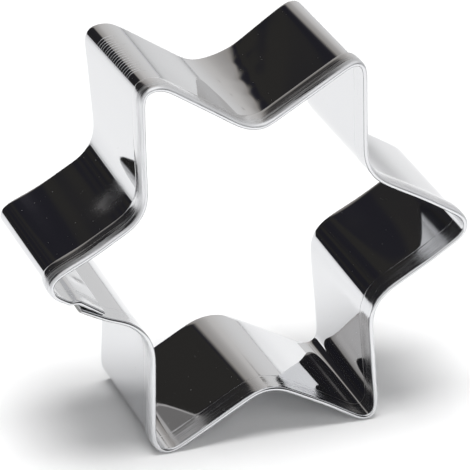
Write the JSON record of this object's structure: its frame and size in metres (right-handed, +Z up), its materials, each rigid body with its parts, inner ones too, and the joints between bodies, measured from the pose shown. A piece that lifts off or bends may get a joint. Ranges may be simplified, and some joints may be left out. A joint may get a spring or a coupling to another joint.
{
  "type": "cookie cutter",
  "caption": "Six-pointed star cookie cutter bent from one polished steel strip, with a folded hem on one edge, a plain cutting edge on the other and spot-welded lapped ends.",
  "frame": {"origin": "on the surface that the cutter stands on, under the middle of its outline and of its depth", "axes": "+Z up with the star standing on its two lower points, +Y from the hem to the cutting edge, +X to the right seen from the hem"},
  "size_m": [0.0604, 0.025, 0.0552],
  "materials": {
    "polished_steel": "mirror-polished stainless sheet",
    "weld_steel": "satin, pressed by the electrodes"
  },
  "bodies": {
    "root": {"star_band": "polished_steel", "spot_welds": "weld_steel"}
  },
  "joints": []
}
